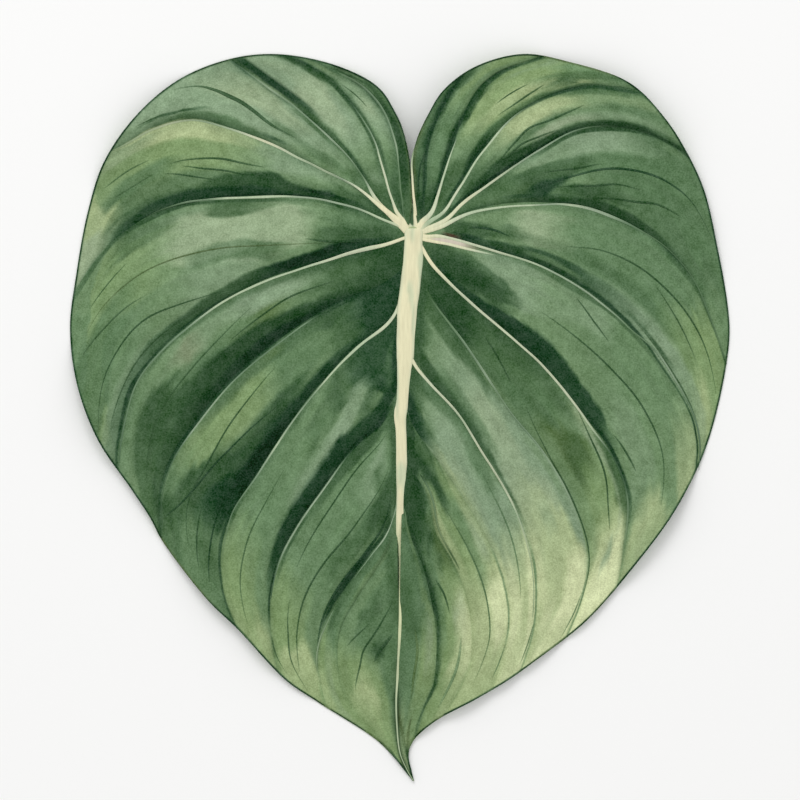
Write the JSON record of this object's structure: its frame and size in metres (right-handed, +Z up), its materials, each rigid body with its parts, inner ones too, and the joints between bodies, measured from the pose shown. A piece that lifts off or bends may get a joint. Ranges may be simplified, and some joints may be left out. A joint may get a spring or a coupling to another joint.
{
  "type": "philodendron leaf",
  "caption": "Large heart-shaped leaf, cut off and lying face up, with two round lobes, sunken curved side veins, a broad pale midrib and a short drip tip.",
  "frame": {"origin": "centre of the box's underside, on the surface that the leaf lies on", "axes": "+Y from the drip tip towards the two lobes, along the midrib; +Z up out of the leaf's upper face; +X to the right seen from above with the tip at the bottom"},
  "size_m": [0.3298, 0.3636, 0.0261],
  "materials": {
    "leaf": "soft velvety green blade with pale cream veins, paler and duller beneath"
  },
  "bodies": {
    "root": {"leaf": "leaf"}
  },
  "joints": []
}
